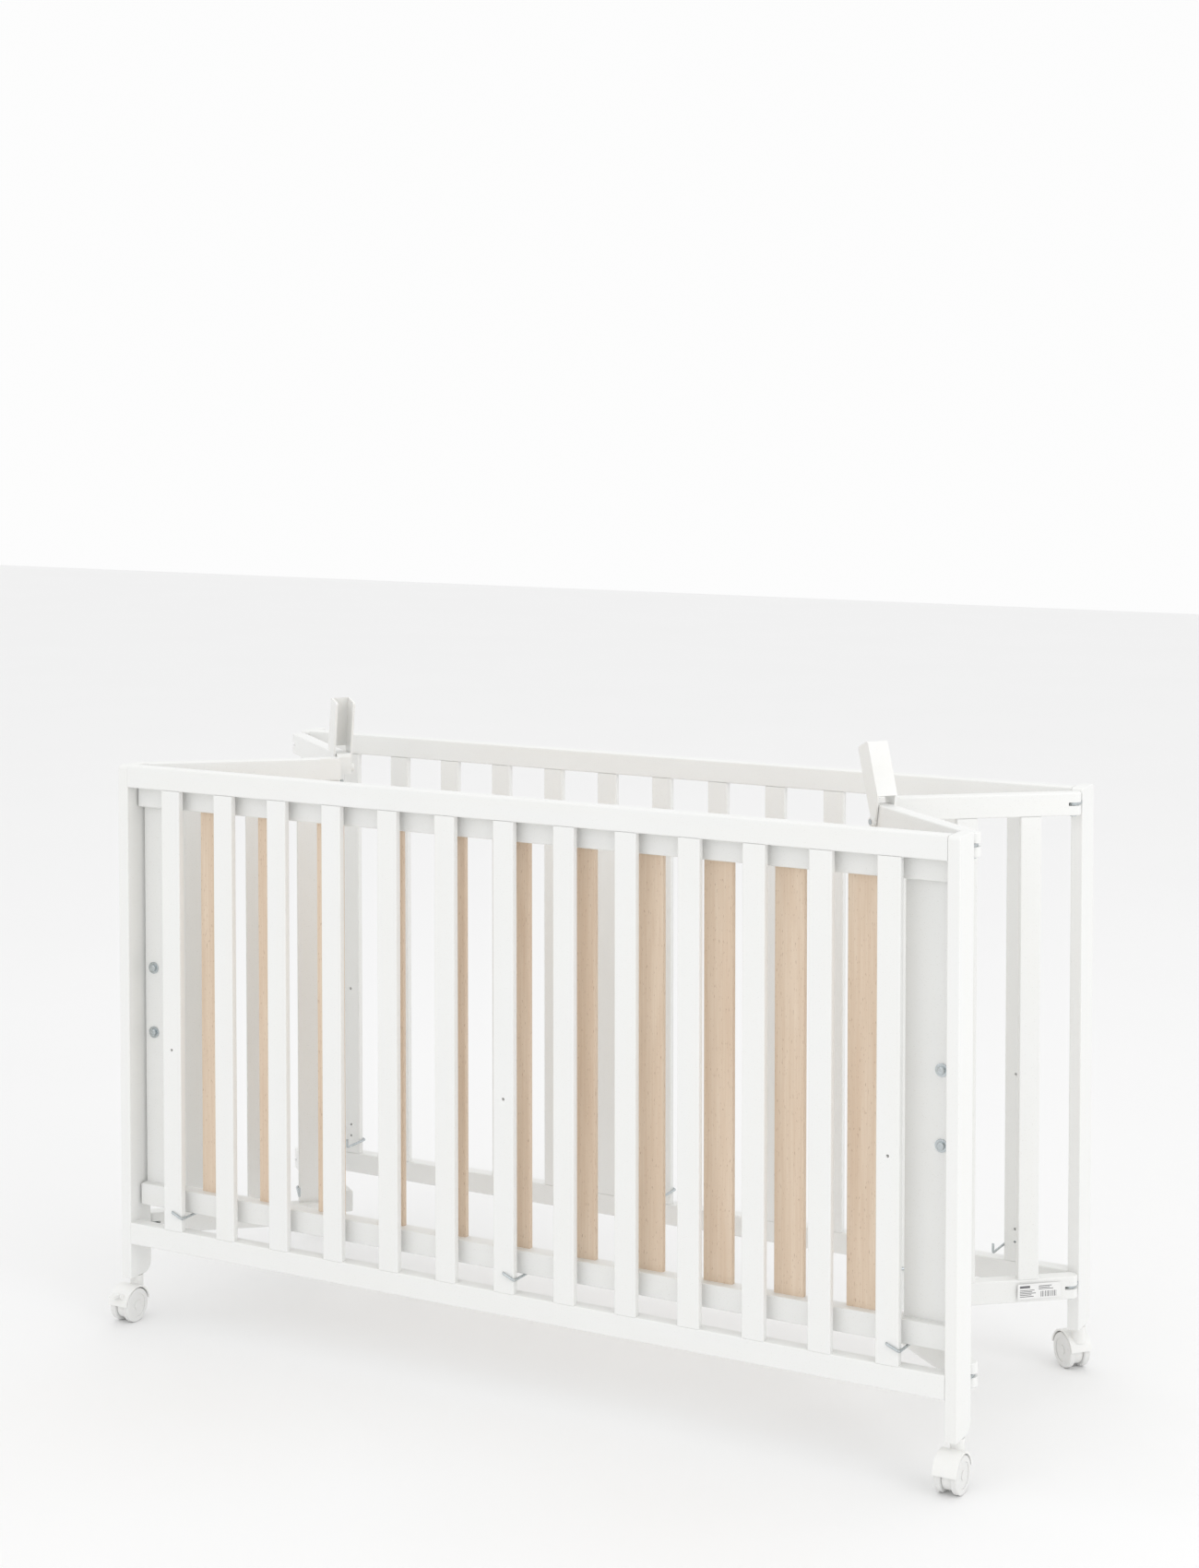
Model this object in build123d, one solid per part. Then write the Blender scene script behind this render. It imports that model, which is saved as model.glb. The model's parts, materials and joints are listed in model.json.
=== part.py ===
from build123d import *
from math import cos, pi, radians, sin
import os

# Folding playpen on casters. Millimetres. While it is being built, X = 0 is midway
# between the posts, Y = 0 is the front face of the front side, Z = 0 is the floor;
# everything is moved to the centre of the overall box just before it is written.

# Driving dimensions
INNER_LENGTH = 1202.0  # between the two posts of a long side
POST_WIDTH = 16.0  # along X
POST_DEPTH = 45.0  # along Y
POST_FOOT = 60.0  # underside of a post, on top of its caster
TOP = 775.0  # top of the long sides
RAIL_HEIGHT = 30.0
RAIL_DEPTH = 20.0
LOW_RAIL_Z = 109.0  # underside of the bottom rails
SLAT_COUNT = 13
SLAT_WIDTH = 30.0
SLAT_DEPTH = 10.0

FOLD = 50.5  # degrees each half end panel is folded in from straight
HALF_REACH = 268.0  # post pivot to middle pivot, along a half end panel
MIDDLE_OFFSET = 12.0  # middle pivot, out from the centre line of a half
PIVOT_FROM_POST = 15.0
HALF_DROP = 3.0  # half end panels finish this much below the long sides
HALF_SLAT_WIDTH = 28.0
LONG_STILE_WIDTH = 61.0  # left front and right back halves
SHORT_STILE_WIDTH = 45.0  # left back and right front halves, which hold the latches
SHORT_BY = 24.0  # the latch halves stop this much sooner
BRACKET_LENGTH = 29.0
END_GAP = 3.0  # end of a half to its middle pivot

BASE_FOOT = 160.0  # underside of the stored base
BASE_HEIGHT = 586.0
BASE_DEPTH = 22.0
BASE_BEHIND = 0.5  # stored base behind the rails of the front side
BASE_SLAT_COUNT = 11
BASE_SLAT_WIDTH = 40.0
BASE_SLAT_PITCH = 96.3
BASE_BOARD_WIDTH = 62.0
BOLT_SPACING = 90.0

LATCH_LENGTH = 98.0
LATCH_HALF = 14.0  # half the outer width of a latch cap
LATCH_WALL = 3.0
LEFT_LATCH_UP = 79.0  # degrees up from closed
RIGHT_LATCH_UP = 67.0

WIRE_RADIUS = 1.7
WHEEL_RADIUS = 23.0
WHEEL_WIDTH = 8.8
CASTER_WIDTH = 30.0
CASTER_TRAIL = 17.0

# Clearances
RUN = 0.3  # between bodies that move
BORE = 0.05  # round a shaft that turns

# Derived
POST_INNER = INNER_LENGTH / 2
POST_MIDDLE = POST_INNER + POST_WIDTH / 2
THETA = radians(FOLD)
HALF_RISE = HALF_REACH * cos(THETA) + MIDDLE_OFFSET * sin(THETA)
FRONT_PIVOT_Y = POST_DEPTH + PIVOT_FROM_POST
DEPTH = FRONT_PIVOT_Y + 2 * HALF_RISE + PIVOT_FROM_POST  # front face to back side's
BACK_PIVOT_Y = DEPTH - PIVOT_FROM_POST
SLAT_GAP = (INNER_LENGTH - SLAT_COUNT * SLAT_WIDTH) / (SLAT_COUNT + 1)
HOOK_SLATS = (0, SLAT_COUNT // 2, SLAT_COUNT - 1)
HOOK_Z = BASE_FOOT + 5
CRADLE_Z = BASE_FOOT - RUN - WIRE_RADIUS
CRADLE_REACH = BASE_BEHIND + RAIL_DEPTH + BASE_DEPTH + 3
SPARE_HOLE_Z = BASE_FOOT + 229
HALF_TOP = TOP - HALF_DROP
HALF_END = HALF_REACH - END_GAP
SHORT_END = HALF_END - SHORT_BY
LATCH_S = SHORT_END - 13
LATCH_Z = HALF_TOP - 22
BASE_FRONT = RAIL_DEPTH + BASE_BEHIND
BASE_TOP = BASE_FOOT + BASE_HEIGHT
BASE_HALF = POST_INNER - 3

parts = {}


def block(x0, x1, y0, y1, z0, z1):
    centre = Pos((x0 + x1) / 2, (y0 + y1) / 2, (z0 + z1) / 2)
    return centre * Box(abs(x1 - x0), abs(y1 - y0), abs(z1 - z0))


def bar(x0, x1, y0, y1, z0, z1, axis, radius):
    """A block with its four edges along an axis rounded."""
    solid = block(x0, x1, y0, y1, z0, z1)
    return fillet(solid.edges().filter_by(axis), radius)


def upright(x, y, z0, z1, radius):
    return Pos(x, y, (z0 + z1) / 2) * Cylinder(radius, z1 - z0)


def across(x, z, y0, y1, radius):
    return Pos(x, (y0 + y1) / 2, z) * Rot(90, 0, 0) * Cylinder(radius, y1 - y0)


def plate(outline, y0, y1):
    """An outline of (x, z) corners, thickened from y0 to y1."""
    face = make_face(Polyline(*[(x, y0, z) for x, z in outline], close=True))
    return extrude(face, amount=y1 - y0, dir=(0, 1, 0))


def wire(points, bend=2.6):
    path = FilletPolyline(*points, radius=bend)
    start = Plane(origin=path @ 0, z_dir=path % 0)
    return sweep(start * Circle(WIRE_RADIUS), path=path)


def slat(x0, x1, y0, y1, z0, z1, tenon, radius=1.5, length=12.0):
    """An upright slat with a tenon, given as an x range, at each end."""
    solid = bar(x0, x1, y0, y1, z0, z1, Axis.Z, radius)
    deep = (y1 - y0) / 5
    return solid + block(*tenon, y0 + deep, y1 - deep, z0 - length, z1 + length)


# ------------------------------------------------------------------ long sides
def slat_left(n):
    return -POST_INNER + SLAT_GAP + n * (SLAT_WIDTH + SLAT_GAP)


def post(side):
    """One post: long edges eased, top rounded, foot rounded towards the back."""
    x0, x1 = side * POST_INNER, side * (POST_INNER + POST_WIDTH)
    solid = block(x0, x1, 0, POST_DEPTH, POST_FOOT, TOP)
    edges = solid.edges().filter_by(Axis.X)
    top = edges.filter_by_position(Axis.Z, TOP - 1, TOP + 1)
    low = edges.filter_by_position(Axis.Z, POST_FOOT - 1, POST_FOOT + 1)
    solid = fillet(top, 5)
    low = [e for e in solid.edges().filter_by(Axis.X) if e.center().Z < POST_FOOT + 1]
    low.sort(key=lambda e: e.center().Y)
    solid = fillet(low[-1], 14)
    outline = solid.faces().filter_by(Axis.X).edges()
    solid = fillet(outline, 1.5)
    return solid - upright(side * POST_MIDDLE, POST_DEPTH / 2, 50, POST_FOOT + 36,
                           4 + BORE)


def long_rail(z0):
    """A rail of a long side, with a tenon in each post."""
    z1 = z0 + RAIL_HEIGHT
    solid = bar(-POST_INNER, POST_INNER, 0, RAIL_DEPTH, z0, z1, Axis.X, 2)
    tenon = block(-POST_INNER - 9, POST_INNER + 9, 4, RAIL_DEPTH - 4, z0 + 6, z1 - 6)
    return solid + tenon


def long_slats(spare_holes):
    low, high = LOW_RAIL_Z + RAIL_HEIGHT, TOP - RAIL_HEIGHT
    found = []
    for n in range(SLAT_COUNT):
        x = slat_left(n)
        one = slat(x, x + SLAT_WIDTH, 0, SLAT_DEPTH, low, high,
                   (x + 5, x + SLAT_WIDTH - 5))
        if n in HOOK_SLATS:
            middle = x + SLAT_WIDTH / 2
            one -= across(middle, HOOK_Z, -1, SLAT_DEPTH + 1, WIRE_RADIUS + BORE)
            for z in spare_holes:
                one -= across(middle, z, -1, SLAT_DEPTH + 1, 2)
        found.append(one)
    return found


def hook(slat_number, edge, inward):
    """A wire hook: out of a hole in its slat, round one edge of the slat, and under
    a rail of the base. inward is +1 where the inside is towards the back."""
    x = slat_left(slat_number) + SLAT_WIDTH / 2
    side = x + edge * (SLAT_WIDTH / 2 + WIRE_RADIUS + 0.2)

    def y(depth):  # depth from the outside face of the slat, inwards
        return depth if inward > 0 else SLAT_DEPTH - depth

    out = -WIRE_RADIUS - 0.1
    return wire([(x, y(7), HOOK_Z), (x, y(out), HOOK_Z), (side, y(out), CRADLE_Z),
                 (side, y(CRADLE_REACH), CRADLE_Z),
                 (side, y(CRADLE_REACH), CRADLE_Z + 12)])


def tongues(pivot_y, towards):
    """Four flat tongues that a side's posts hold, and the pins through them."""
    flats, pins = [], []
    for side in (-1, 1):
        for z0 in (LOW_RAIL_Z, HALF_TOP - RAIL_HEIGHT):
            middle, x = z0 + RAIL_HEIGHT / 2, side * POST_MIDDLE
            root = pivot_y - towards * PIVOT_FROM_POST
            deep = root - towards * (10 if towards > 0 else 3.5)  # short of a tenon
            y0, y1 = sorted((deep, pivot_y))
            flat = block(x - 5, x + 5, y0, y1, middle - 2, middle + 2)
            y0, y1 = sorted((root, pivot_y))
            flat += block(x - 7, x + 7, y0, y1, middle - 2, middle + 2)
            flat += upright(x, pivot_y, middle - 2, middle + 2, 7)
            flats.append(flat - upright(x, pivot_y, middle - 3, middle + 3, 3))
            pin = upright(x, pivot_y, z0 - RUN - 1.4, z0 + RAIL_HEIGHT - 5, 3)
            pins.append(pin + upright(x, pivot_y, z0 - RUN - 1.4, z0 - RUN, 4.5))
    return flats, pins


def long_side(name, y, inward):
    """A long side and what is fixed to it. Its front face is at y."""
    holes = [SPARE_HOLE_Z] if inward > 0 else [SPARE_HOLE_Z, HOOK_Z + 17]
    slats = long_slats(holes)
    rails = [long_rail(TOP - RAIL_HEIGHT), long_rail(LOW_RAIL_Z)]
    posts = [post(-1) - rails[0] - rails[1], post(1) - rails[0] - rails[1]]
    for one in slats:
        rails = [rail - one for rail in rails]
    edges = (1, 1, 1) if inward > 0 else (1, 1, -1)
    hooks = [hook(n, e, inward) for n, e in zip(HOOK_SLATS, edges)]
    pivot = FRONT_PIVOT_Y if inward > 0 else BACK_PIVOT_Y
    flats, pins = tongues(pivot, 1 if inward > 0 else -1)
    posts = [Pos(0, y, 0) * one for one in posts]
    for flat in flats:
        posts = [one - flat for one in posts]
    parts[name + "_left_post"] = [posts[0]]
    parts[name + "_right_post"] = [posts[1]]
    parts[name + "_top_rail"] = [Pos(0, y, 0) * rails[0]]
    parts[name + "_bottom_rail"] = [Pos(0, y, 0) * rails[1]]
    parts[name + "_slats"] = [Pos(0, y, 0) * one for one in slats]
    parts[name + "_hooks"] = [Pos(0, y, 0) * one for one in hooks]
    parts[name + "_hinge_tongues"] = flats
    parts[name + "_hinge_pins"] = pins


# ------------------------------------------------------- half end panels
# A half is built along X from its post pivot. Its outside is towards +Y where hand
# is +1 and towards -Y where hand is -1; n is a distance out from its centre line.
def half_rail(z0, end):
    z1 = z0 + RAIL_HEIGHT
    solid = block(0, end, -RAIL_DEPTH / 2, RAIL_DEPTH / 2, z0, z1)
    solid += upright(0, 0, z0, z1, RAIL_DEPTH / 2)
    edges = [e for e in solid.edges()
             if min(abs(e.center().Z - z0), abs(e.center().Z - z1)) < 0.01
             and e.center().X < end - 1]
    solid = fillet(edges, 2)
    middle = z0 + RAIL_HEIGHT / 2
    solid -= block(-12, 9.5, -12, 12, middle - 2 - RUN, middle + 2 + RUN)
    return solid - upright(0, 0, z0 - 1, z1 - 4, 3 + BORE)


def leaf(hand, z0, z1, outer_knuckles, end):
    third = (z1 - z0) / 3
    n = RAIL_DEPTH / 2

    def layer(s0, s1, a, b):
        return block(s0, s1, hand * n, hand * (n + 1.5), a, b)

    if outer_knuckles:
        spans = [(z0, z0 + third - 0.15), (z1 - third + 0.15, z1)]
    else:
        spans = [(z0 + third + 0.15, z1 - third - 0.15)]
    solid = layer(end - 23, HALF_END - 0.7, z0, z1)
    for a, b in spans:
        solid += layer(HALF_END - 0.7, HALF_REACH, a, b)
        solid += upright(HALF_REACH, hand * MIDDLE_OFFSET, a, b, 3)
        bore = 1.5 if outer_knuckles else 1.5 + BORE
        solid -= upright(HALF_REACH, hand * MIDDLE_OFFSET, a - 1, b + 1, bore)
    return solid


def middle_pin(hand, z0, z1):
    x, y = HALF_REACH, hand * MIDDLE_OFFSET
    solid = upright(x, y, z0 - 1.2, z1 + 1.2, 1.5)
    return solid + upright(x, y, z0 - 1.2, z0 - 0.05, 2.6) + upright(
        x, y, z1 + 0.05, z1 + 1.2, 2.6)


def latch_cap():
    """Closed, along +X from its pivot at X = 0, Z = 0: a channel, hollow down."""
    inner = LATCH_HALF - LATCH_WALL
    roof = HALF_TOP - LATCH_Z + 0.8
    high = roof + LATCH_WALL
    outline = [(0, -3), (LATCH_LENGTH, -3), (LATCH_LENGTH, high), (26, high), (-5, 3)]
    solid = plate(outline, -LATCH_HALF, LATCH_HALF)
    tip = [e for e in solid.edges().filter_by(Axis.Y) if e.center().X > LATCH_LENGTH - 1]
    solid = fillet(tip, 4)
    solid += across(0, 0, -LATCH_HALF - 3, LATCH_HALF + 3, 6)
    solid -= block(26, LATCH_LENGTH + 1, -inner, inner, -10, roof)
    solid -= block(-10, 26.01, -inner, inner, -10, high + 1)
    return solid - across(0, 0, -LATCH_HALF - 4, LATCH_HALF + 4, 2.5 + BORE)


def half_panel(name, hand, place, front, latch_up):
    hooked = latch_up is None
    end = HALF_END if hooked else SHORT_END
    wide = LONG_STILE_WIDTH if hooked else SHORT_STILE_WIDTH
    low_z, top_z = LOW_RAIL_Z, HALF_TOP - RAIL_HEIGHT
    start = end - BRACKET_LENGTH
    low = half_rail(low_z, end)
    top = half_rail(top_z, start)
    key = block(start - 1, start + 10, -5, 5, top_z + 12, top_z + 24)
    top += key
    bracket = block(start, end, -RAIL_DEPTH / 2, RAIL_DEPTH / 2, top_z, HALF_TOP)
    corner = [e for e in bracket.edges().filter_by(Axis.Y)
              if e.center().X > end - 1 and e.center().Z > HALF_TOP - 1]
    bracket = fillet(corner, 6)
    bracket = bracket - top

    # two slats and a wide stile, flush with the outside of the rails
    y0, y1 = sorted((0, hand * SLAT_DEPTH))
    z0, z1 = low_z + RAIL_HEIGHT, top_z
    first = HALF_REACH * 46 / 268
    second = HALF_REACH * 132 / 268
    slats = [slat(s, s + HALF_SLAT_WIDTH, y0, y1, z0, z1, (s + 5, s + HALF_SLAT_WIDTH - 5))
             for s in (first, second)]
    s0 = end - wide
    stile = bar(s0, end, y0, y1, z0, z1, Axis.Z, 1.5)
    stile += block(s0 + 3, start - 2, y0 + 2, y1 - 2, z1 - 1, z1 + 10)
    stile += block(s0 + 12, end - 12, y0 + 2, y1 - 2, z0 - 12, z0 + 1)
    middle = (s0 + end) / 2
    if hooked:
        for z in (SPARE_HOLE_Z, HOOK_Z + 17):
            stile -= across(middle, z, y0 - 1, y1 + 1, 2)
        stile -= across(middle, HOOK_Z, y0 - 1, y1 + 1, WIRE_RADIUS + BORE)
        out, side = SLAT_DEPTH + WIRE_RADIUS + 0.1, s0 - WIRE_RADIUS - 0.2
        reach = SLAT_DEPTH - CRADLE_REACH
        hooks = [wire([(middle, hand * 3, HOOK_Z), (middle, hand * out, HOOK_Z),
                       (side, hand * out, CRADLE_Z), (side, hand * reach, CRADLE_Z),
                       (side, hand * reach, CRADLE_Z + 12)])]
    slats.append(stile)
    for one in slats:
        low = low - one
        top = top - one
    if latch_up is not None:
        pin = across(LATCH_S, LATCH_Z, -LATCH_HALF - 3, LATCH_HALF + 3, 2.5)
        for y in (-LATCH_HALF - 3, LATCH_HALF + 3):
            a, b = sorted((y, y * (1 + 0.8 / abs(y))))
            pin += across(LATCH_S, LATCH_Z, a, b, 2.5)
            a, b = sorted((y * (1 + RUN / abs(y)), y * (1 + 0.8 / abs(y))))
            pin += across(LATCH_S, LATCH_Z, a, b, 3.6)
        bracket = bracket - across(LATCH_S, LATCH_Z, -12, 12, 2.5)
        cap = Pos(LATCH_S, 0, LATCH_Z) * Rot(0, -latch_up, 0) * latch_cap()
        side_name = name.split("_")[0]
        parts[side_name + "_latch_pin"] = [place * pin]
        parts[side_name + "_latch_cap"] = [place * cap]

    spans = [(top_z - 38, top_z - 4), (low_z + 2, low_z + RAIL_HEIGHT - 2)]
    parts[name + "_top_rail"] = [place * top]
    parts[name + "_bottom_rail"] = [place * low]
    parts[name + "_slats"] = [place * one for one in slats]
    parts[name + "_bracket"] = [place * bracket]
    parts[name + "_leaves"] = [place * leaf(hand, a, b, front, end) for a, b in spans]
    if front:
        pins = [place * middle_pin(hand, a, b) for a, b in spans]
        parts[name.split("_")[0] + "_middle_pins"] = pins
    if hooked:
        parts[name.split("_")[0] + "_end_hook"] = [place * one for one in hooks]


# ------------------------------------------------------------------ stored base
def base():
    y0, y1 = BASE_FRONT, BASE_FRONT + BASE_DEPTH
    low = bar(-BASE_HALF, BASE_HALF, y0, y1, BASE_FOOT, BASE_FOOT + RAIL_HEIGHT,
              Axis.X, 2)
    high = bar(-BASE_HALF, BASE_HALF, y0, y1, BASE_TOP - RAIL_HEIGHT, BASE_TOP,
               Axis.X, 2)
    z0, z1 = BASE_FOOT + RAIL_HEIGHT, BASE_TOP - RAIL_HEIGHT
    face = y1 - 10
    boards, bolts, washers = [], [], []
    for side in (-1, 1):
        x0, x1 = sorted((side * BASE_HALF, side * (BASE_HALF - BASE_BOARD_WIDTH)))
        board = bar(x0, x1, face, y1, z0, z1, Axis.Z, 1.5)
        board += block(x0 + 5, x1 - 5, face + 2, y1 - 2, z0 - 10, z1 + 10)
        for up in (-1, 1):
            x, z = side * (BASE_HALF - 15), (z0 + z1) / 2 - 7 + up * BOLT_SPACING / 2
            board -= across(x, z, face - 1, y1 + 1, 3)
            washer = across(x, z, face - 1.5, face, 8) - across(x, z, face - 2, face + 1, 3)
            head = across(x, z, face - 5, face - 1.5, 5)
            head = fillet(head.edges().filter_by_position(Axis.Y, face - 6, face - 4.9),
                          1.5)
            bolts.append(head + across(x, z, face - 3, y1, 3))
            washers.append(washer)
        boards.append(board)
    first = -BASE_SLAT_PITCH * (BASE_SLAT_COUNT - 1) / 2 - BASE_SLAT_WIDTH / 2
    slats = []
    for n in range(BASE_SLAT_COUNT):
        x = first + n * BASE_SLAT_PITCH
        slats.append(slat(x, x + BASE_SLAT_WIDTH, face, face + 8, z0, z1,
                          (x + 5, x + BASE_SLAT_WIDTH - 5), 1.5, 10))
    for one in boards + slats:
        low, high = low - one, high - one
    parts["base_lower_rail"] = [low]
    parts["base_upper_rail"] = [high]
    parts["base_end_boards"] = boards
    parts["base_slats"] = slats
    parts["base_bolts"] = bolts
    parts["base_washers"] = washers


# ------------------------------------------------------------------ casters
def caster(name, place, brake):
    """Stem at X = 0; the axle is along Y, a trail away towards +X."""
    axle, rim, half = WHEEL_RADIUS, WHEEL_RADIUS + 4, CASTER_WIDTH / 2
    inner = half - WHEEL_WIDTH
    web = inner - 0.5
    hood = across(CASTER_TRAIL, axle, -half, half, rim)
    hood &= block(-60, 90, -40, 40, axle + 4, 90)
    hood += upright(0, 0, axle + 15, POST_FOOT - RUN, 9)
    hood += across(CASTER_TRAIL, axle, -web, web, WHEEL_RADIUS - 4)
    for side in (-1, 1):
        y0, y1 = sorted((side * web, side * (half + 1)))
        hood -= across(CASTER_TRAIL, axle, y0, y1, WHEEL_RADIUS + 1.5)
    hood -= across(CASTER_TRAIL, axle, -half - 1, half + 1, 3 + BORE)
    hood += upright(0, 0, POST_FOOT - 5, POST_FOOT + 35, 4)
    wheels = across(CASTER_TRAIL, axle, -half, half, 3)
    for side in (-1, 1):
        y0, y1 = sorted((side * inner, side * half))
        wheel = across(CASTER_TRAIL, axle, y0, y1, WHEEL_RADIUS)
        wheel = fillet(wheel.edges().filter_by(GeomType.CIRCLE), 2)
        outer = side * half
        a, b = sorted((outer - side, outer + side))
        wheel -= across(CASTER_TRAIL, axle, a, b, WHEEL_RADIUS - 7)
        wheels += wheel
    for side in (-1, 1):
        y0, y1 = sorted((side * inner, side * half))
        wheels += across(CASTER_TRAIL, axle, y0, y1, 6)
    if brake:
        out = Pos(CASTER_TRAIL, 0, axle) * Rot(0, -35, 0)
        far = rim + 4
        for side in (-1, 1):
            y0, y1 = sorted((side * 5, side * 8))
            hood += out * block(rim - 1.5, far, y0, y1, -3, 3)
            hood += out * across(far, 0, y0, y1, 3)
        hood += out * across(far, 0, -8, 8, 1.5)
        x, z = CASTER_TRAIL + far * cos(radians(35)), axle + far * sin(radians(35))
        tab = across(0, 0, -4.6, 4.6, 3) + block(1.5, 14, -4.6, 4.6, 0.4, 3)
        tab = tab - across(0, 0, -6, 6, 1.5 + BORE)
        parts[name + "_brake_tab"] = [place * Pos(x, 0, z) * tab]
    parts[name + "_caster_hood"] = [place * hood]
    parts[name + "_caster_wheels"] = [place * wheels]


# ------------------------------------------------------------------ put together
long_side("front", 0, 1)
long_side("back", DEPTH, -1)

LEFT, RIGHT = -POST_MIDDLE, POST_MIDDLE
half_panel("left_front", 1, Pos(LEFT, FRONT_PIVOT_Y, 0) * Rot(0, 0, 90 - FOLD),
           True, None)
half_panel("left_back", -1, Pos(LEFT, BACK_PIVOT_Y, 0) * Rot(0, 0, FOLD - 90),
           False, LEFT_LATCH_UP)
half_panel("right_front", -1, Pos(RIGHT, FRONT_PIVOT_Y, 0) * Rot(0, 0, 90 + FOLD),
           True, RIGHT_LATCH_UP)
half_panel("right_back", 1, Pos(RIGHT, BACK_PIVOT_Y, 0) * Rot(0, 0, -90 - FOLD),
           False, None)
base()

STEM_Y = POST_DEPTH / 2
caster("front_left", Pos(LEFT, STEM_Y, 0) * Rot(0, 0, -90), True)
caster("front_right", Pos(RIGHT, STEM_Y, 0) * Rot(0, 0, -90), False)
caster("back_left", Pos(LEFT, DEPTH + STEM_Y, 0) * Rot(0, 0, 41), False)
caster("back_right", Pos(RIGHT, DEPTH + STEM_Y, 0) * Rot(0, 0, 139), False)

# overall box, and the move to its bottom centre
boxes = [solid.bounding_box() for solids in parts.values() for solid in solids]
MIDDLE_X = (min(b.min.X for b in boxes) + max(b.max.X for b in boxes)) / 2
MIDDLE_Y = (min(b.min.Y for b in boxes) + max(b.max.Y for b in boxes)) / 2
FLOOR = min(b.min.Z for b in boxes)
MOVE = Pos(-MIDDLE_X, -MIDDLE_Y, -FLOOR)

os.makedirs("parts", exist_ok=True)
for name, solids in parts.items():
    placed = [piece for solid in solids for piece in (MOVE * solid).solids()]
    export_step(placed[0] if len(placed) == 1 else Compound(placed),
                "parts/" + name + ".step")
print(len(parts), "nodes; moved by", -MIDDLE_X, -MIDDLE_Y, -FLOOR)
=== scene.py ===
import json
import math

import bmesh
import bpy
from mathutils import Matrix, Vector


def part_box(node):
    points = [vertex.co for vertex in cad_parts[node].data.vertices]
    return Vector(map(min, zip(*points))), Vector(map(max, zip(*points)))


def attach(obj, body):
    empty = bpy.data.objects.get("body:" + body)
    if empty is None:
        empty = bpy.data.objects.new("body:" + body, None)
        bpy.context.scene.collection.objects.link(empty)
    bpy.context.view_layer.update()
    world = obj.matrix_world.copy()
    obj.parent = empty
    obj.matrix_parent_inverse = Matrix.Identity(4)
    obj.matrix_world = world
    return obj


# Folding playpen on casters, in white lacquered wood with a beech base.
# Metres, in the same frame as the CAD model.

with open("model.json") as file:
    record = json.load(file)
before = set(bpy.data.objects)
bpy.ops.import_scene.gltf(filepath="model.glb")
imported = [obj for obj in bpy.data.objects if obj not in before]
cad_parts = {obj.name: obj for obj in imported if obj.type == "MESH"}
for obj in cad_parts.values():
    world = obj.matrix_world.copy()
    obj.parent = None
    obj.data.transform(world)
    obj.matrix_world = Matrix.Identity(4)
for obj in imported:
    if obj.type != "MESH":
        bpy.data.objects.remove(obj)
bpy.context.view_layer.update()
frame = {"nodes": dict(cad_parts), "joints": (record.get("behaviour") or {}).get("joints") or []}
nodes = frame["nodes"]


# ------------------------------------------------------------ shader building
class Graph:
    """Short spellings for making and joining nodes in one node tree."""

    def __init__(self, tree):
        self.tree = tree

    def add(self, kind, **settings):
        made = self.tree.nodes.new(kind)
        for name, value in settings.items():
            setattr(made, name, value)
        return made

    def set(self, node, **values):
        for name, value in values.items():
            node.inputs[name.replace("_", " ")].default_value = value
        return node

    def join(self, source, target):
        self.tree.links.new(source, target)

    def ramp(self, factor, low, high):
        """Stretches a value between low and high to 0 to 1."""
        made = self.add("ShaderNodeMapRange")
        made.inputs["From Min"].default_value = low
        made.inputs["From Max"].default_value = high
        self.join(factor, made.inputs["Value"])
        return made.outputs["Result"]

    def blend(self, factor, a, b):
        made = self.add("ShaderNodeMix", data_type="RGBA")
        self.join(factor, made.inputs["Factor"])
        for value, socket in ((a, made.inputs["A"]), (b, made.inputs["B"])):
            if isinstance(value, tuple):
                socket.default_value = (*value, 1)
            else:
                self.join(value, socket)
        return made.outputs["Result"]

    def noise(self, vector, scale, detail, roughness=0.5, distortion=0.0):
        made = self.add("ShaderNodeTexNoise")
        self.set(made, Scale=scale, Detail=detail, Roughness=roughness,
                 Distortion=distortion)
        self.join(vector, made.inputs["Vector"])
        return made.outputs["Fac"]

    def times(self, vector, factor):
        """A position made larger, so that what is drawn on it gets finer."""
        made = self.add("ShaderNodeVectorMath", operation="SCALE")
        self.join(vector, made.inputs[0])
        self.join(factor, made.inputs["Scale"])
        return made.outputs[0]

    def calc(self, operation, a, b):
        made = self.add("ShaderNodeMath", operation=operation)
        for value, socket in ((a, made.inputs[0]), (b, made.inputs[1])):
            if isinstance(value, (int, float)):
                socket.default_value = value
            else:
                self.join(value, socket)
        return made.outputs[0]


def new_group(name, inputs, outputs):
    tree = bpy.data.node_groups.new(name, "ShaderNodeTree")
    for label, kind, value in inputs:
        socket = tree.interface.new_socket(label, in_out="INPUT", socket_type=kind)
        socket.default_value = value
    for label, kind in outputs:
        tree.interface.new_socket(label, in_out="OUTPUT", socket_type=kind)
    graph = Graph(tree)
    return graph, graph.add("NodeGroupInput"), graph.add("NodeGroupOutput")


FLOAT, VECTOR = "NodeSocketFloat", "NodeSocketVector"


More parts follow.
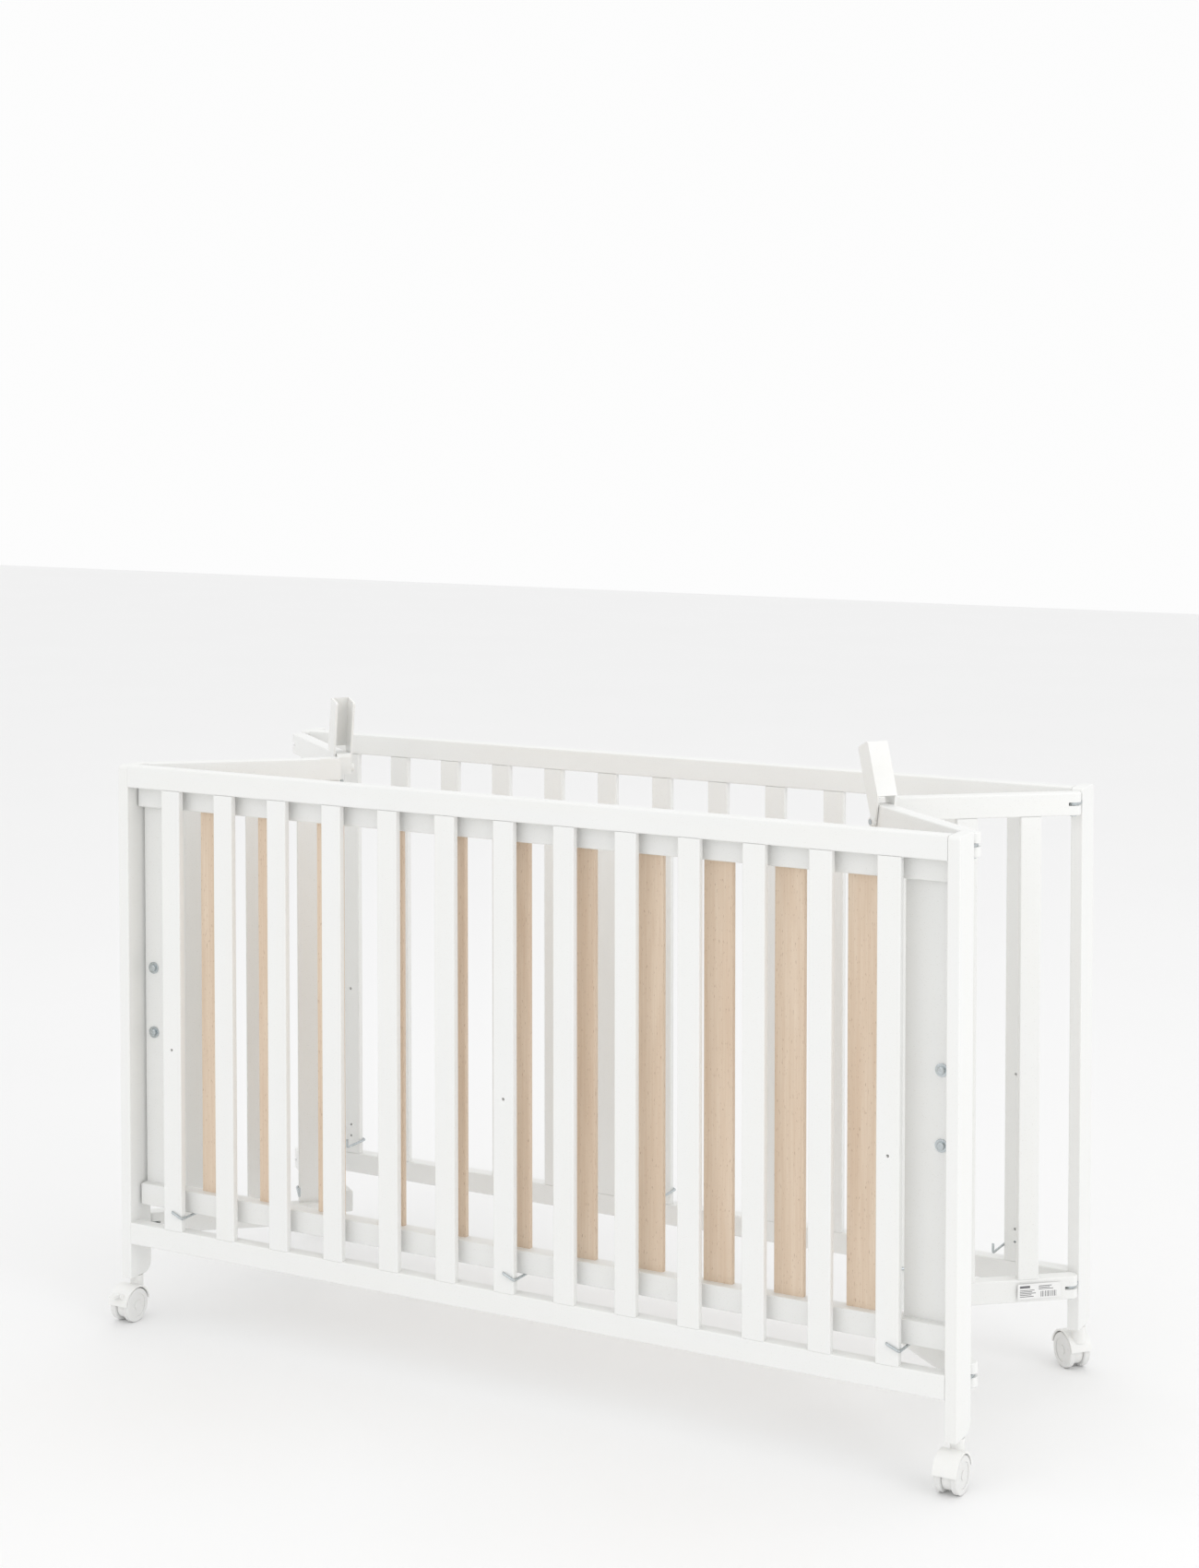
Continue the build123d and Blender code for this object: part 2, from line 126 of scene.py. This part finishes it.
def make_grain():
    """Wood grain along a member's local Z after it is turned: broad figure, fine
    lines, and the short dark flecks of beech."""
    graph, given, out = new_group(
        "wood grain",
        [("Turn", VECTOR, (0, 0, 0)), ("Fineness", FLOAT, 1.0)],
        [("Figure", FLOAT), ("Lines", FLOAT), ("Flecks", FLOAT)])
    place = graph.add("ShaderNodeTexCoord").outputs["Object"]
    turned = graph.add("ShaderNodeVectorRotate", rotation_type="EULER_XYZ")
    graph.join(place, turned.inputs["Vector"])
    graph.join(given.outputs["Turn"], turned.inputs["Rotation"])

    def stretched(across, along):
        scaled = graph.add("ShaderNodeVectorMath", operation="MULTIPLY")
        scaled.inputs[1].default_value = (across, across, along)
        graph.join(turned.outputs[0], scaled.inputs[0])
        return graph.times(scaled.outputs[0], given.outputs["Fineness"])

    figure = graph.noise(stretched(1.0, 0.09), 38, 3, 0.55, 0.6)
    lines = graph.noise(stretched(1.0, 0.02), 420, 4, 0.7)
    flecks = graph.noise(stretched(1.0, 0.16), 900, 1)
    graph.join(graph.ramp(figure, 0.30, 0.70), out.inputs["Figure"])
    graph.join(graph.ramp(lines, 0.35, 0.68), out.inputs["Lines"])
    graph.join(graph.ramp(flecks, 0.66, 0.74), out.inputs["Flecks"])
    return graph.tree


def make_lacquer():
    """What an opaque lacquer shows: long soft waves, a fine orange peel, faint
    rubbed patches and specks of dust."""
    graph, given, out = new_group(
        "lacquer skin",
        [("Scale", FLOAT, 1.0)],
        [("Waves", FLOAT), ("Peel", FLOAT), ("Rubbed", FLOAT), ("Specks", FLOAT)])
    place = graph.add("ShaderNodeTexCoord").outputs["Object"]
    sized = graph.times(place, given.outputs["Scale"])
    rubbed = graph.noise(sized, 26, 5, 0.65)
    specks = graph.noise(sized, 700, 0)
    graph.join(graph.noise(sized, 9, 2), out.inputs["Waves"])
    graph.join(graph.noise(sized, 520, 2), out.inputs["Peel"])
    graph.join(graph.ramp(rubbed, 0.52, 0.72), out.inputs["Rubbed"])
    graph.join(graph.ramp(specks, 0.72, 0.78), out.inputs["Specks"])
    return graph.tree


def make_mould():
    """Moulded plastic: a fine spark-eroded texture and a slow drift of gloss."""
    graph, given, out = new_group(
        "moulded texture",
        [("Fineness", FLOAT, 1.0)],
        [("Grit", FLOAT), ("Drift", FLOAT), ("Scuffs", FLOAT)])
    place = graph.add("ShaderNodeTexCoord").outputs["Object"]
    sized = graph.times(place, given.outputs["Fineness"])
    cells = graph.set(graph.add("ShaderNodeTexVoronoi"), Scale=1500)
    graph.join(sized, cells.inputs["Vector"])
    scuffs = graph.noise(sized, 160, 6, 0.75)
    graph.join(cells.outputs["Distance"], out.inputs["Grit"])
    graph.join(graph.noise(sized, 30, 3), out.inputs["Drift"])
    graph.join(graph.ramp(scuffs, 0.58, 0.75), out.inputs["Scuffs"])
    return graph.tree


GRAIN, LACQUER_SKIN, MOULD = make_grain(), make_lacquer(), make_mould()


def start(name, **constants):
    """A material with one Principled shader whose constant values are set here."""
    made = bpy.data.materials.new(name)
    made.use_nodes = True
    graph = Graph(made.node_tree)
    shader = made.node_tree.nodes["Principled BSDF"]
    for label, value in constants.items():
        shader.inputs[label.replace("_", " ")].default_value = value
    return made, graph, shader


def use(graph, tree, **values):
    placed = graph.add("ShaderNodeGroup", node_tree=tree)
    return graph.set(placed, **values)


def bump(graph, shader, height, strength, distance):
    made = graph.add("ShaderNodeBump")
    graph.set(made, Strength=strength, Distance=distance)
    graph.join(height, made.inputs["Height"])
    graph.join(made.outputs["Normal"], shader.inputs["Normal"])


# The turn that brings each direction of wood onto local Z
UPRIGHT_WOOD = (0, 0, 0)
LONG_WOOD = (0, -math.pi / 2, 0)


def turn_for(direction):
    return tuple(Vector(direction).rotation_difference(Vector((0, 0, 1))).to_euler())


def white_lacquer(name, turn, base=(0.86, 0.865, 0.855), grain_depth=0.00006):
    """Satin white lacquer through which the grain still shows as faint ridges."""
    made, graph, shader = start(name, IOR=1.5, Coat_Roughness=0.25)
    grain = use(graph, GRAIN, Turn=turn, Fineness=1.0)
    skin = use(graph, LACQUER_SKIN, Scale=1.0)
    shade = tuple(c * 0.965 for c in base)
    warm = (base[0] * 0.985, base[1] * 0.975, base[2] * 0.945)
    colour = graph.blend(skin.outputs["Waves"], base, shade)
    colour = graph.blend(graph.calc("MULTIPLY", grain.outputs["Figure"], 0.35),
                         colour, warm)
    colour = graph.blend(graph.calc("MULTIPLY", skin.outputs["Specks"], 0.25),
                         colour, (0.62, 0.60, 0.56))
    graph.join(colour, shader.inputs["Base Color"])
    gloss = graph.calc("MULTIPLY", skin.outputs["Rubbed"], 0.10)
    gloss = graph.calc("ADD", gloss, 0.36)
    gloss = graph.calc("ADD", gloss,
                       graph.calc("MULTIPLY", grain.outputs["Lines"], 0.05))
    graph.join(gloss, shader.inputs["Roughness"])
    height = graph.calc("ADD", graph.calc("MULTIPLY", grain.outputs["Lines"], 0.7),
                        graph.calc("MULTIPLY", skin.outputs["Peel"], 0.5))
    bump(graph, shader, height, 0.35, grain_depth)
    return made


def clear_beech(name, turn):
    """Beech under a thin clear coat: pale pinkish tan with short brown flecks."""
    made, graph, shader = start(name, IOR=1.48)
    grain = use(graph, GRAIN, Turn=turn, Fineness=1.0)
    skin = use(graph, LACQUER_SKIN, Scale=1.0)
    colour = graph.blend(grain.outputs["Figure"], (0.82, 0.69, 0.555),
                         (0.73, 0.585, 0.45))
    colour = graph.blend(graph.calc("MULTIPLY", grain.outputs["Lines"], 0.35),
                         colour, (0.60, 0.40, 0.25))
    colour = graph.blend(graph.calc("MULTIPLY", grain.outputs["Flecks"], 0.65),
                         colour, (0.36, 0.20, 0.11))
    colour = graph.blend(graph.calc("MULTIPLY", skin.outputs["Waves"], 0.3),
                         colour, (0.78, 0.63, 0.48))
    graph.join(colour, shader.inputs["Base Color"])
    gloss = graph.calc("ADD", 0.42, graph.calc("MULTIPLY", grain.outputs["Lines"], 0.14))
    graph.join(gloss, shader.inputs["Roughness"])
    height = graph.calc("SUBTRACT", grain.outputs["Lines"], grain.outputs["Flecks"])
    bump(graph, shader, height, 0.4, 0.00008)
    return made


def moulded(name, base, roughness, depth, scuffed):
    made, graph, shader = start(name, IOR=1.49, Subsurface_Weight=0.04,
                                Subsurface_Scale=0.004)
    shader.inputs["Subsurface Radius"].default_value = (1.0, 0.9, 0.8)
    mould = use(graph, MOULD, Fineness=1.0)
    shade = (base[0] * 0.95, base[1] * 0.95, base[2] * 0.93)
    colour = graph.blend(mould.outputs["Drift"], base, shade)
    colour = graph.blend(graph.calc("MULTIPLY", mould.outputs["Scuffs"], scuffed),
                         colour, (0.45, 0.44, 0.42))
    graph.join(colour, shader.inputs["Base Color"])
    gloss = graph.calc("ADD", roughness,
                       graph.calc("MULTIPLY", mould.outputs["Drift"], 0.12))
    graph.join(gloss, shader.inputs["Roughness"])
    bump(graph, shader, mould.outputs["Grit"], 0.3, depth)
    return made


def zinc_plate(name):
    """Bright zinc plating with the faint crystals and dull spots it always has."""
    made, graph, shader = start(name, Metallic=1.0)
    skin = use(graph, LACQUER_SKIN, Scale=6.0)
    colour = graph.blend(skin.outputs["Waves"], (0.60, 0.64, 0.65),
                         (0.46, 0.50, 0.52))
    colour = graph.blend(graph.calc("MULTIPLY", skin.outputs["Rubbed"], 0.4),
                         colour, (0.42, 0.42, 0.40))
    graph.join(colour, shader.inputs["Base Color"])
    gloss = graph.calc("ADD", 0.26, graph.calc("MULTIPLY", skin.outputs["Rubbed"], 0.25))
    graph.join(gloss, shader.inputs["Roughness"])
    bump(graph, shader, skin.outputs["Peel"], 0.25, 0.00003)
    return made


def printed_paper(name, base, ink):
    """Label stock: a slight fibre in the colour and a waxy top film."""
    made, graph, shader = start(name, IOR=1.5, Coat_Weight=0.2, Coat_Roughness=0.3)
    skin = use(graph, LACQUER_SKIN, Scale=4.0)
    graph.join(graph.blend(skin.outputs["Waves"], base, ink),
               shader.inputs["Base Color"])
    graph.join(graph.calc("ADD", 0.4, graph.calc("MULTIPLY", skin.outputs["Rubbed"], 0.1)),
               shader.inputs["Roughness"])
    bump(graph, shader, skin.outputs["Peel"], 0.15, 0.00002)
    return made


# -------------------------------------------------------- directions of the ends
joints = {joint["name"]: joint for joint in frame["joints"]}


def span(a, b):
    """From one joint to another, level."""
    start_at, end_at = Vector(joints[a]["pos_m"]), Vector(joints[b]["pos_m"])
    return Vector((end_at.x - start_at.x, end_at.y - start_at.y, 0)).normalized()


HALVES = {
    "left_front": span("end_fold", "left_middle"),
    "left_back": span("left_back_post", "left_middle"),
    "right_front": span("right_front_post", "right_middle"),
}
HALVES["right_back"] = HALVES["left_back"] * Vector((-1, 1, 0))

# ------------------------------------------------------------------- materials
upright_lacquer = white_lacquer("white lacquer upright", UPRIGHT_WOOD)
long_lacquer = white_lacquer("white lacquer lengthwise", LONG_WOOD)
half_lacquer = {name: white_lacquer("white lacquer " + name.replace("_", " "),
                                    turn_for(direction))
                for name, direction in HALVES.items()}
base_board = white_lacquer("base lacquer upright", UPRIGHT_WOOD,
                           base=(0.85, 0.855, 0.845))
base_rail = white_lacquer("base lacquer lengthwise", LONG_WOOD,
                          base=(0.85, 0.855, 0.845))
beech = clear_beech("clear beech", UPRIGHT_WOOD)
white_plastic = moulded("white moulding", (0.87, 0.87, 0.86), 0.34, 0.00004, 0.08)
wheel_plastic = moulded("wheel moulding", (0.80, 0.80, 0.795), 0.30, 0.00003, 0.35)
zinc = zinc_plate("bright zinc")
label_stock = printed_paper("label stock", (0.88, 0.88, 0.87), (0.82, 0.82, 0.81))
label_ink = printed_paper("label ink", (0.10, 0.10, 0.11), (0.20, 0.20, 0.21))
# painted shade: a near-black finish for the screw heads' cross recesses, standing in for the
# shade inside them
painted_recess_shade = moulded("painted recess shade", (0.10, 0.10, 0.10), 0.5, 0.00004, 0.2)


def finish_for(name):
    if name in ("base_lower_rail", "base_upper_rail"):
        return base_rail
    if name == "base_end_boards":
        return base_board
    if name == "base_slats":
        return beech
    if name.endswith(("_bracket", "_latch_cap", "_caster_hood", "_brake_tab")):
        return white_plastic
    if name.endswith("_caster_wheels"):
        return wheel_plastic
    if name.endswith(("_hooks", "_hook", "_hinge_tongues", "_hinge_pins", "_leaves",
                      "_middle_pins", "_latch_pin", "_bolts", "_washers")):
        return zinc
    if name.endswith("_rail"):
        for half, made in half_lacquer.items():
            if name.startswith(half + "_"):
                return made
        return long_lacquer
    return upright_lacquer


for name, node in nodes.items():
    node.data.materials.clear()
    node.data.materials.append(finish_for(name))


# ---------------------------------------------------------------- small fittings
def new_piece(name, mesh, body, slot, *finishes):
    made = bpy.data.objects.new(name, mesh)
    bpy.context.scene.collection.objects.link(made)
    for finish in finishes:
        mesh.materials.append(finish)
    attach(made, body)
    return made


def frame_at(point, outward, up=(0, 0, 1)):
    """A placement whose local Z points outward and local Y points up."""
    z = Vector(outward).normalized()
    x = Vector(up).cross(z).normalized()
    y = z.cross(x)
    turned = Matrix((x, y, z)).transposed().to_4x4()
    turned.translation = Vector(point)
    return turned


def turned_profile(mesh, profile, placement, steps=28, finish=0):
    """A round body: (radius, height) points spun about the placement's Z."""
    rings = []
    for radius, height in profile:
        if radius < 1e-7:
            rings.append([mesh.verts.new(placement @ Vector((0, 0, height)))])
            continue
        rings.append([mesh.verts.new(placement @ Vector(
            (radius * math.cos(2 * math.pi * k / steps),
             radius * math.sin(2 * math.pi * k / steps), height)))
            for k in range(steps)])
    for low, high in zip(rings, rings[1:]):
        for k in range(steps):
            n = (k + 1) % steps
            corners = [low[k % len(low)], low[n % len(low)],
                       high[n % len(high)], high[k % len(high)]]
            unique = list(dict.fromkeys(corners))
            if len(unique) > 2:
                face = mesh.faces.new(unique)
                face.smooth = True
                face.material_index = finish


# thickness of the near-black cross sheet on each screw head (painted shade for the recess)
SLOT_DEPTH = 0.00012


def screw_head(mesh, placement, radius=0.0032, rise=0.0008):
    """A low domed head with a cross recess, its rim on the surface. The recess is drawn as a
    thin near-black cross over the head: painted shade standing in for the depth of the recess.
    """
    turned_profile(mesh, [(radius, -0.0004), (radius, rise * 0.35),
                          (radius * 0.93, rise * 0.7), (radius * 0.7, rise),
                          (radius * 0.32, rise * 1.08), (radius * 0.3, rise * 0.45),
                          (0, rise * 0.4)], placement)
    # the cross: a thin sheet in finish 1, near-black, painted shade for the recess
    for angle in (0, math.pi / 2):
        cross = placement @ Matrix.Rotation(angle, 4, "Z")
        half, width, top = radius * 0.62, radius * 0.11, rise * 1.12
        corners = ((-half, -width), (half, -width), (half, width), (-half, width))
        upper = [mesh.verts.new(cross @ Vector((x, y, top))) for x, y in corners]
        under = [mesh.verts.new(cross @ Vector((x, y, top - SLOT_DEPTH)))
                 for x, y in corners]
        faces = [upper] + [[under[k], under[(k + 1) % 4], upper[(k + 1) % 4], upper[k]]
                           for k in range(4)]
        for corner_list in faces:
            mesh.faces.new(corner_list).material_index = 1


def make_screws(name, body, places, radius=0.0032, rise=0.0008):
    mesh = bmesh.new()
    for point, outward in places:
        screw_head(mesh, frame_at(point, outward), radius, rise)
    bmesh.ops.recalc_face_normals(mesh, faces=mesh.faces[:])
    data = bpy.data.meshes.new(name)
    mesh.to_mesh(data)
    mesh.free()
    # second finish: painted shade in the cross recesses
    return new_piece(name, data, body, "zinc", zinc, painted_recess_shade)


MM = 0.001


APART = 0.05  # the least height between two fittings of one node


def levels(node):
    """The separate spans of height in a CAD node, lowest first."""
    heights = sorted(v.co.z for v in nodes[node].data.vertices)
    spans, low = [], heights[0]
    for below, above in zip(heights, heights[1:] + [math.inf]):
        if above - below > APART:
            spans.append((low, below))
            low = above
    return spans


PIVOTS = {"left_front": "end_fold", "left_back": "left_back_post",
          "right_front": "right_front_post"}
pivots = {half: Vector(joints[joint]["pos_m"]) for half, joint in PIVOTS.items()}
pivots["right_back"] = pivots["left_back"] * Vector((-1, 1, 1))


def on_half(half, along, out, height):
    """A point on a half end panel: along from its post pivot, out from its centre."""
    run = HALVES[half]
    outward = outside(half)
    flat = pivots[half] + run * along + outward * out
    return Vector((flat.x, flat.y, height))


def outside(half):
    run = HALVES[half]
    away = Vector((run.y, -run.x, 0))
    return away if (away.x < 0) == half.startswith("left") else -away


# screws in the middle hinge leaves
RAIL_HALF = 10 * MM
LEAF_FACE = RAIL_HALF + 1.5 * MM
LEAF_STARTS = {"left_front": 242 * MM, "right_back": 242 * MM,
               "left_back": 218 * MM, "right_front": 218 * MM}
SCREW_INSET = 8 * MM  # from the leaf's free edge
SCREW_RISE = 9 * MM  # from the leaf's middle
for half, leaf_start in LEAF_STARTS.items():
    places = []
    for low, high in levels(half + "_leaves"):
        middle = (low + high) / 2
        for rise in (-SCREW_RISE, SCREW_RISE):
            point = on_half(half, leaf_start + SCREW_INSET, LEAF_FACE, middle + rise)
            places.append((point, outside(half)))
    make_screws(half + "_leaf_screws", half + "_half", places)

# a pin through each bracket that has no latch, with its head on the inside
PIN_ALONG, PIN_RISE, PIN_RADIUS = 250 * MM, 1 * MM, 2.8 * MM
for half in ("left_front", "right_back"):
    low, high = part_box(half + "_bracket")
    point = on_half(half, PIN_ALONG, -RAIL_HALF, (low.z + high.z) / 2 + PIN_RISE)
    make_screws(half + "_bracket_pin", half + "_half", [(point, -outside(half))],
                radius=PIN_RADIUS)


# a plain label by the right back post, with bars in place of print
def raised_plate(mesh, placement, width, height, low, high, corner, finish):
    """A thin plate with rounded corners, centred on the placement."""
    outline = []
    for k in range(4):
        cx = (width / 2 - corner) * (1, -1, -1, 1)[k]
        cy = (height / 2 - corner) * (1, 1, -1, -1)[k]
        steps = 6 if corner > 0 else 0
        for step in range(steps + 1):
            angle = math.pi / 2 * (k + (step / steps if steps else 0))
            outline.append((cx + corner * math.cos(angle),
                            cy + corner * math.sin(angle)))
    under = [mesh.verts.new(placement @ Vector((x, y, low))) for x, y in outline]
    upper = [mesh.verts.new(placement @ Vector((x, y, high))) for x, y in outline]
    count = len(outline)
    faces = [upper, under[::-1]] + [
        [under[k], under[(k + 1) % count], upper[(k + 1) % count], upper[k]]
        for k in range(count)]
    for corners in faces:
        mesh.faces.new(corners).material_index = finish


LABEL_ALONG, LABEL_WIDTH, LABEL_HEIGHT = 46 * MM, 60 * MM, 20 * MM
# middle, then width and height, of each bar in millimetres
BARS = [(-20, 6, 14, 3.2), (-17, 1.6, 20, 0.9), (-18.5, -0.4, 17, 0.9),
        (-16, -2.4, 22, 0.9), (-19, -4.4, 16, 0.9), (-17.5, -6.6, 19, 0.9),
        (8, 6.4, 18, 0.9), (6.5, 4.4, 15, 0.9), (9, 2.4, 20, 0.9)]
BARS += [(2 + 2.1 * k, -4.2, (0.7, 1.2, 0.5, 0.9)[k % 4], 7.5) for k in range(11)]


def make_label():
    mesh = bmesh.new()
    low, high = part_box("right_back_bottom_rail")
    centre = on_half("right_back", LABEL_ALONG, RAIL_HALF, (low.z + high.z) / 2)
    place = frame_at(centre, outside("right_back"))
    raised_plate(mesh, place, LABEL_WIDTH, LABEL_HEIGHT, -0.05 * MM, 0.2 * MM,
                 1.5 * MM, 0)
    for x, y, width, height in BARS:
        bar_place = place @ Matrix.Translation((x * MM, y * MM, 0))
        raised_plate(mesh, bar_place, width * MM, height * MM, 0.19 * MM, 0.23 * MM,
                     0.1 * MM, 1)
    bmesh.ops.recalc_face_normals(mesh, faces=mesh.faces[:])
    data = bpy.data.meshes.new("rail_label")
    mesh.to_mesh(data)
    mesh.free()
    return new_piece("rail_label", data, "right_back_half", "white_plastic",
                     label_stock, label_ink)


make_label()


# --------------------------------------------------------------- floor and light
def make_floor():
    mesh = bmesh.new()
    bmesh.ops.create_grid(mesh, x_segments=4, y_segments=4, size=12)
    data = bpy.data.meshes.new("floor")
    mesh.to_mesh(data)
    mesh.free()
    floor = bpy.data.objects.new("floor", data)
    bpy.context.scene.collection.objects.link(floor)
    finish, graph, shader = start("floor paint", Roughness=0.8)
    skin = use(graph, LACQUER_SKIN, Scale=0.2)
    graph.join(graph.blend(skin.outputs["Waves"], (0.90, 0.90, 0.90),
                           (0.885, 0.885, 0.885)), shader.inputs["Base Color"])
    data.materials.append(finish)


def soft_light(name, place, target, size, power):
    light = bpy.data.lights.new(name, "AREA")
    light.shape = "RECTANGLE"
    light.size, light.size_y = size
    light.energy = power
    lamp = bpy.data.objects.new(name, light)
    bpy.context.scene.collection.objects.link(lamp)
    lamp.location = place
    aim = Vector(target) - Vector(place)
    lamp.rotation_euler = aim.to_track_quat("-Z", "Y").to_euler()


make_floor()
AIM = (0, 0, 0.4)
soft_light("right key", (3.6, -0.9, 2.0), AIM, (2.4, 2.4), 22)
soft_light("front fill", (-0.6, -4.2, 2.4), AIM, (3.0, 2.2), 12)
soft_light("top", (0.0, 0.2, 3.8), AIM, (3.0, 3.0), 8)

world = bpy.data.worlds.new("studio")
bpy.context.scene.world = world
world.use_nodes = True
sky = world.node_tree.nodes["Background"]
sky.inputs["Color"].default_value = (1.0, 1.0, 1.0, 1)
sky.inputs["Strength"].default_value = 0.98

# ------------------------------------------------------------------------ camera
lens = bpy.data.cameras.new("camera")
lens.sensor_width = 36
lens.lens = 62.1
lens.shift_y = -0.1765
camera = bpy.data.objects.new("camera", lens)
bpy.context.scene.collection.objects.link(camera)
camera.location = (1.753, -3.1555, 1.294)
camera.rotation_euler = (math.radians(87.47), 0, math.radians(28.88))
bpy.context.scene.camera = camera
bpy.context.scene.view_settings.view_transform = "Standard"
